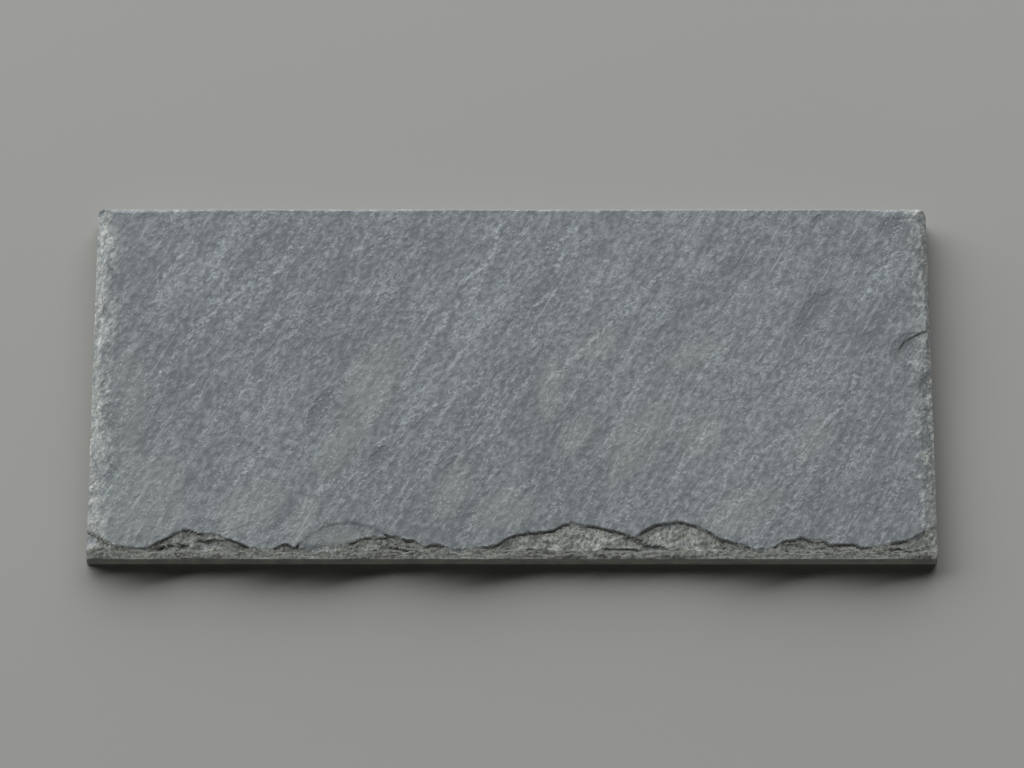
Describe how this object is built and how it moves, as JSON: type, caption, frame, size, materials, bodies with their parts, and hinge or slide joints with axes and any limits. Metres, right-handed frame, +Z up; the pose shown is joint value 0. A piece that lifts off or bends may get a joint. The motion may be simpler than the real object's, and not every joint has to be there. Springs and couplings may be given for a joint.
{
  "type": "slate paving slab",
  "caption": "Rectangular riven slate paving slab with a cleft upper face, hand-dressed flaked edges over sawn bands, and a flat sawn underside to bed on.",
  "frame": {"origin": "centre of the rectangle of the underside, on the plane the slab rests on", "axes": "+X along the long side, +Y towards the back long edge (the dressed front edge faces -Y), +Z up through the thickness out of the riven face"},
  "size_m": [0.6, 0.3, 0.02],
  "materials": {
    "slate": "riven blue-grey slate, matt, with paler broken edges"
  },
  "bodies": {
    "root": {"slate_slab": "slate"}
  },
  "joints": []
}
